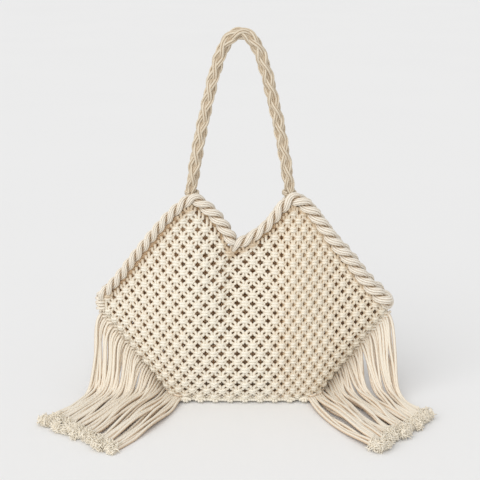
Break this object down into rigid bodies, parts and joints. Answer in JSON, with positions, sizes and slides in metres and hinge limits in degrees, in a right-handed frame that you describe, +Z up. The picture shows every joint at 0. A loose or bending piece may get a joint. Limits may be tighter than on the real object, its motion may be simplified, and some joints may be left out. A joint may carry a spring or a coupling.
{
  "type": "macrame shoulder bag",
  "caption": "Knotted cotton net shoulder bag with a notched mouth edged in thick rope, a braided strap and long side fringes, standing on its flat base",
  "frame": {"origin": "middle of the flat underside of the base, on the surface that the bag stands on", "axes": "+Z up, the front of the bag faces -Y, +X to the right seen from the front"},
  "size_m": [0.5216, 0.2645, 0.5004],
  "materials": {
    "net_cotton": "matt knotted cotton cord, cream",
    "rope_cotton": "matt laid cotton rope, cream",
    "braid_cotton": "matt braided cotton cord, cream",
    "fringe_cotton": "matt loose cotton cord with frayed ends, cream"
  },
  "bodies": {
    "root": {"front_panel": "net_cotton", "back_panel": "net_cotton", "base_panel": "net_cotton", "rim_rope_left": "rope_cotton", "rim_rope_right": "rope_cotton", "strap": "braid_cotton", "strap_wrap_left": "rope_cotton", "strap_wrap_right": "rope_cotton", "fringe_left": "fringe_cotton", "fringe_right": "fringe_cotton"}
  },
  "joints": []
}
